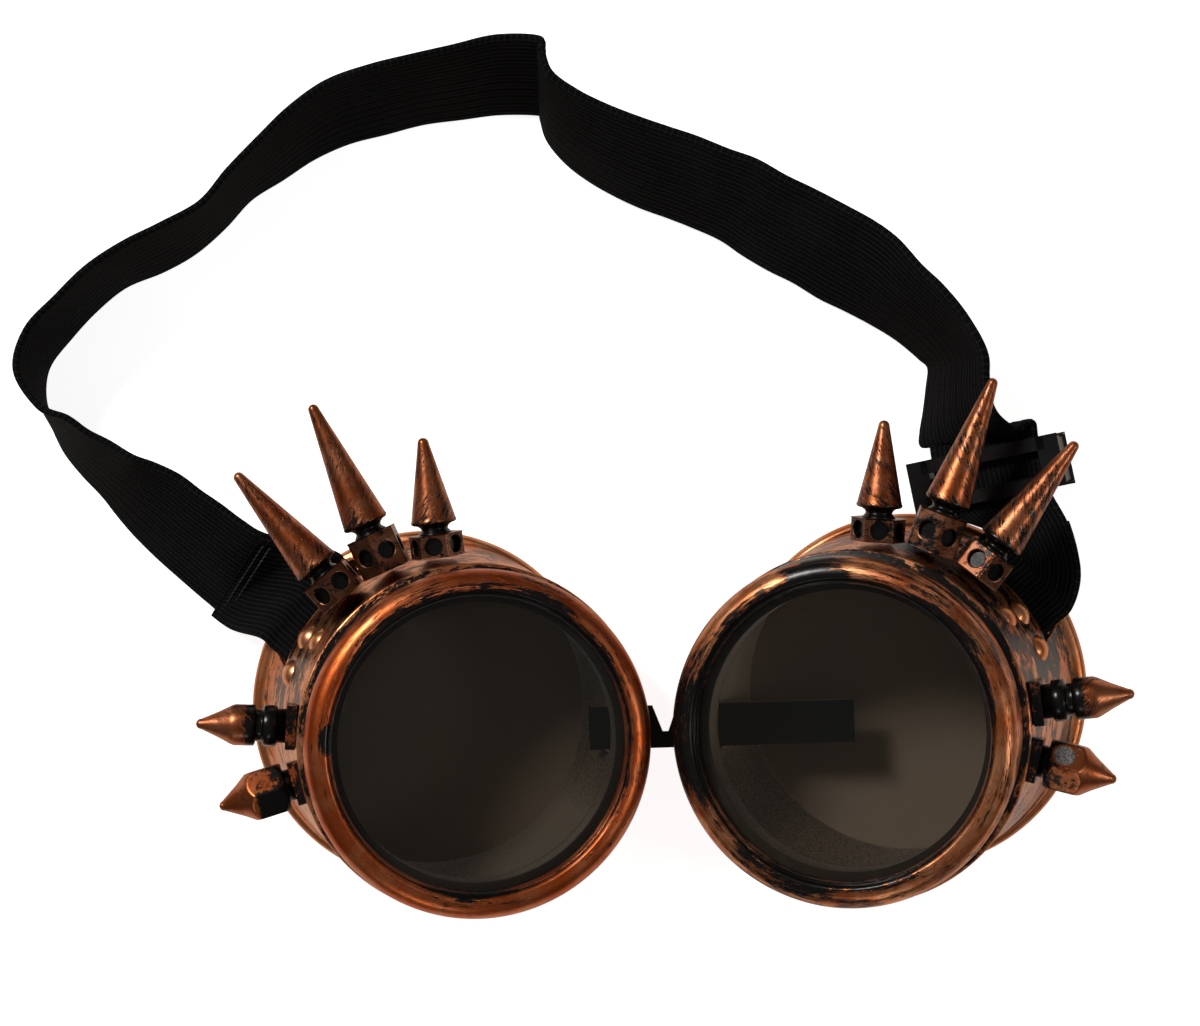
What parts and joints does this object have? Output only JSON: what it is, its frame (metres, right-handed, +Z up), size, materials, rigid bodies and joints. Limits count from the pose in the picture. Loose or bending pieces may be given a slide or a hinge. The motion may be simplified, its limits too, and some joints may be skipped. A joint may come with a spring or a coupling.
{
  "type": "steampunk goggles",
  "caption": "Round-cup goggles with screw-on lens rings, brow spikes, temple studs, a bridge strip and an adjustable elastic head strap.",
  "frame": {"origin": "on the table, under the middle of the whole outline", "axes": "+Z up along the view through the lenses, away from the wearer; +X towards the cup at the right of the picture; +Y towards the brow, where the spikes and the head strap lie"},
  "size_m": [0.1927, 0.1529, 0.04],
  "materials": {
    "cup_shell": "moulded plastic with a copper plating and a rubbed black patina",
    "lens_ring": "moulded plastic with a copper plating and a rubbed black patina",
    "spike": "copper-plated metal, rubbed, with black necks",
    "spike_nut": "copper-plated metal with heavy black patina",
    "stud_plate": "black patina over copper plating",
    "smoked_lens": "smooth see-through smoke grey",
    "gasket": "matt",
    "bridge_strip": "matt",
    "head_strap": "woven elastic with lengthwise ribs",
    "thread": "spun sewing thread",
    "slider": "smooth moulded plastic"
  },
  "bodies": {
    "left_eyecup": {"left_cup": "cup_shell", "left_short_spike": "spike", "left_tall_spike": "spike", "left_outer_spike": "spike", "left_short_spike_nut": "spike_nut", "left_tall_spike_nut": "spike_nut", "left_outer_spike_nut": "spike_nut", "left_ringed_stud": "spike", "left_hex_stud": "spike", "left_ringed_stud_plate": "stud_plate", "left_hex_stud_plate": "stud_plate", "bridge_strip": "bridge_strip", "head_strap_left_run": "head_strap", "strap_stitching": "thread"},
    "right_eyecup": {"right_cup": "cup_shell", "right_short_spike": "spike", "right_tall_spike": "spike", "right_outer_spike": "spike", "right_short_spike_nut": "spike_nut", "right_tall_spike_nut": "spike_nut", "right_outer_spike_nut": "spike_nut", "right_ringed_stud": "spike", "right_hex_stud": "spike", "right_ringed_stud_plate": "stud_plate", "right_hex_stud_plate": "stud_plate", "head_strap_right_run": "head_strap"},
    "left_lens_holder": {"left_lens": "smoked_lens", "left_lens_gasket": "gasket"},
    "left_ring": {"left_lens_ring": "lens_ring"},
    "right_lens_holder": {"right_lens": "smoked_lens", "right_lens_gasket": "gasket"},
    "right_ring": {"right_lens_ring": "lens_ring"},
    "slider": {"strap_slider": "slider"}
  },
  "joints": [
    {"name": "bridge_adjust", "type": "slide", "parent": "left_eyecup", "child": "right_eyecup", "axis": [1, 0, 0], "range_m": [0, 0.006]},
    {"name": "left_lens_lift", "type": "slide", "parent": "left_eyecup", "child": "left_lens_holder", "axis": [0.225, 0, 0.9744], "range_m": [0, 0.006]},
    {"name": "left_ring_spin", "type": "hinge", "parent": "left_lens_holder", "child": "left_ring", "pos_m": [-0.0151, -0.0465, 0.02231], "axis": [0.225, 0, 0.9744], "range_deg": [0, 1080]},
    {"name": "right_lens_lift", "type": "slide", "parent": "right_eyecup", "child": "right_lens_holder", "axis": [-0.225, 0, 0.9744], "range_m": [0, 0.006]},
    {"name": "right_ring_spin", "type": "hinge", "parent": "right_lens_holder", "child": "right_ring", "pos_m": [0.0493, -0.0465, 0.02231], "axis": [-0.225, 0, 0.9744], "range_deg": [0, 1080]},
    {"name": "slider_slide", "type": "slide", "parent": "right_eyecup", "child": "slider", "axis": [-0.1633, 0.9866, 0], "range_m": [0, 0.0014]}
  ],
  "couplings": [
    {"joint": "left_lens_lift", "follows": "left_ring_spin", "m_per_rad": 0.0003183},
    {"joint": "right_lens_lift", "follows": "right_ring_spin", "m_per_rad": 0.0003183}
  ]
}
